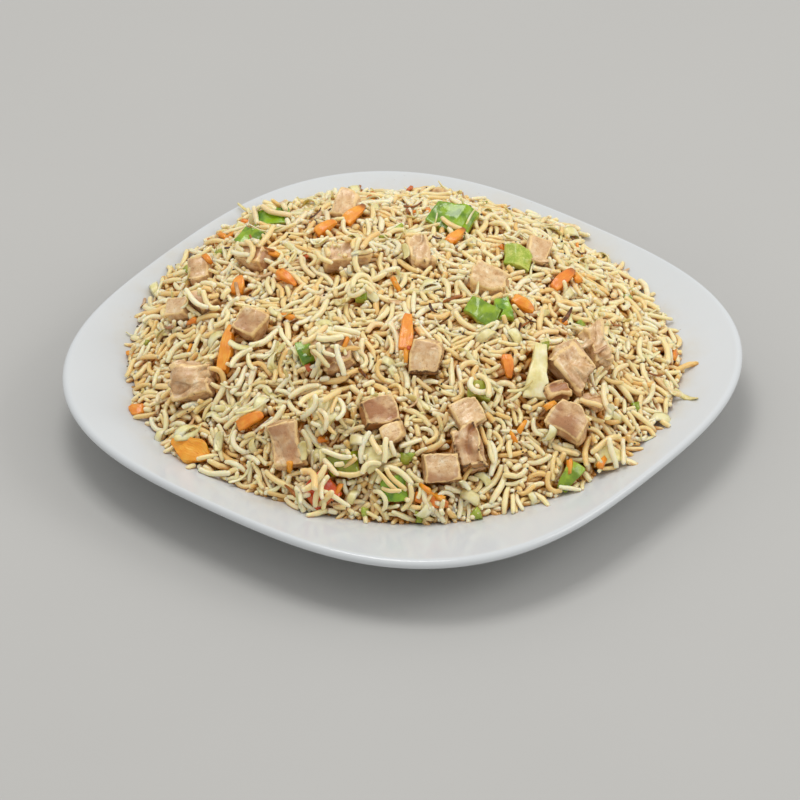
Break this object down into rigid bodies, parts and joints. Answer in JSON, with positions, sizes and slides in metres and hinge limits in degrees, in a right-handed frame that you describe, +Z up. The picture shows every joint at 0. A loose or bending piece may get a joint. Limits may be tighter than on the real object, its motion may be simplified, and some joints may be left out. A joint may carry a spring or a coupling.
{
  "type": "plate of chicken fried rice",
  "caption": "Soft-square white coupe plate heaped with a low mound of long-grain fried rice with diced chicken, carrot, pepper and onion in it.",
  "frame": {"origin": "on the table under the middle of the plate", "axes": "+Z up; the plate's four rounded corners lie on the X and Y axes, with -Y towards the viewer"},
  "size_m": [0.2498, 0.2498, 0.0628],
  "materials": {
    "plate": "white opal glass, glossy and opaque",
    "rice": "cooked long-grain rice, pale cream to light brown, lightly oiled",
    "chicken": "cooked chicken, pale inside with browned faces",
    "carrot": "cooked carrot, moist orange",
    "red_pepper": "cooked red pepper, shiny skin",
    "green_pepper": "cooked green pepper, shiny skin with pale flesh",
    "onion": "cooked onion and cabbage, translucent pale yellow"
  },
  "bodies": {
    "root": {"carrot_slice_01": "carrot", "carrot_stick_01": "carrot", "carrot_stick_02": "carrot", "carrot_stick_03": "carrot", "carrot_stick_04": "carrot", "carrot_stick_05": "carrot", "carrot_stick_06": "carrot", "carrot_stick_07": "carrot", "carrot_stick_08": "carrot", "carrot_stick_09": "carrot", "carrot_stick_10": "carrot", "carrot_stick_11": "carrot", "carrot_stick_12": "carrot", "carrot_stick_13": "carrot", "chicken_01": "chicken", "chicken_02": "chicken", "chicken_03": "chicken", "chicken_04": "chicken", "chicken_05": "chicken", "chicken_06": "chicken", "chicken_07": "chicken", "chicken_08": "chicken", "chicken_09": "chicken", "chicken_10": "chicken", "chicken_11": "chicken", "chicken_12": "chicken", "chicken_13": "chicken", "chicken_14": "chicken", "chicken_15": "chicken", "chicken_16": "chicken", "chicken_17": "chicken", "chicken_18": "chicken", "chicken_19": "chicken", "chicken_20": "chicken", "chicken_21": "chicken", "chicken_22": "chicken", "chicken_23": "chicken", "chicken_24": "chicken", "chicken_25": "chicken", "chicken_26": "chicken", "chicken_27": "chicken", "green_pepper_01": "green_pepper", "green_pepper_02": "green_pepper", "green_pepper_03": "green_pepper", "green_pepper_04": "green_pepper", "green_pepper_05": "green_pepper", "green_pepper_06": "green_pepper", "green_pepper_07": "green_pepper", "green_pepper_08": "green_pepper", "green_pepper_09": "green_pepper", "green_pepper_10": "green_pepper", "green_pepper_11": "green_pepper", "green_pepper_12": "green_pepper", "onion_01": "onion", "onion_02": "onion", "onion_03": "onion", "onion_04": "onion", "plate": "plate", "red_pepper_01": "red_pepper", "rice_heap": "rice"}
  },
  "joints": []
}
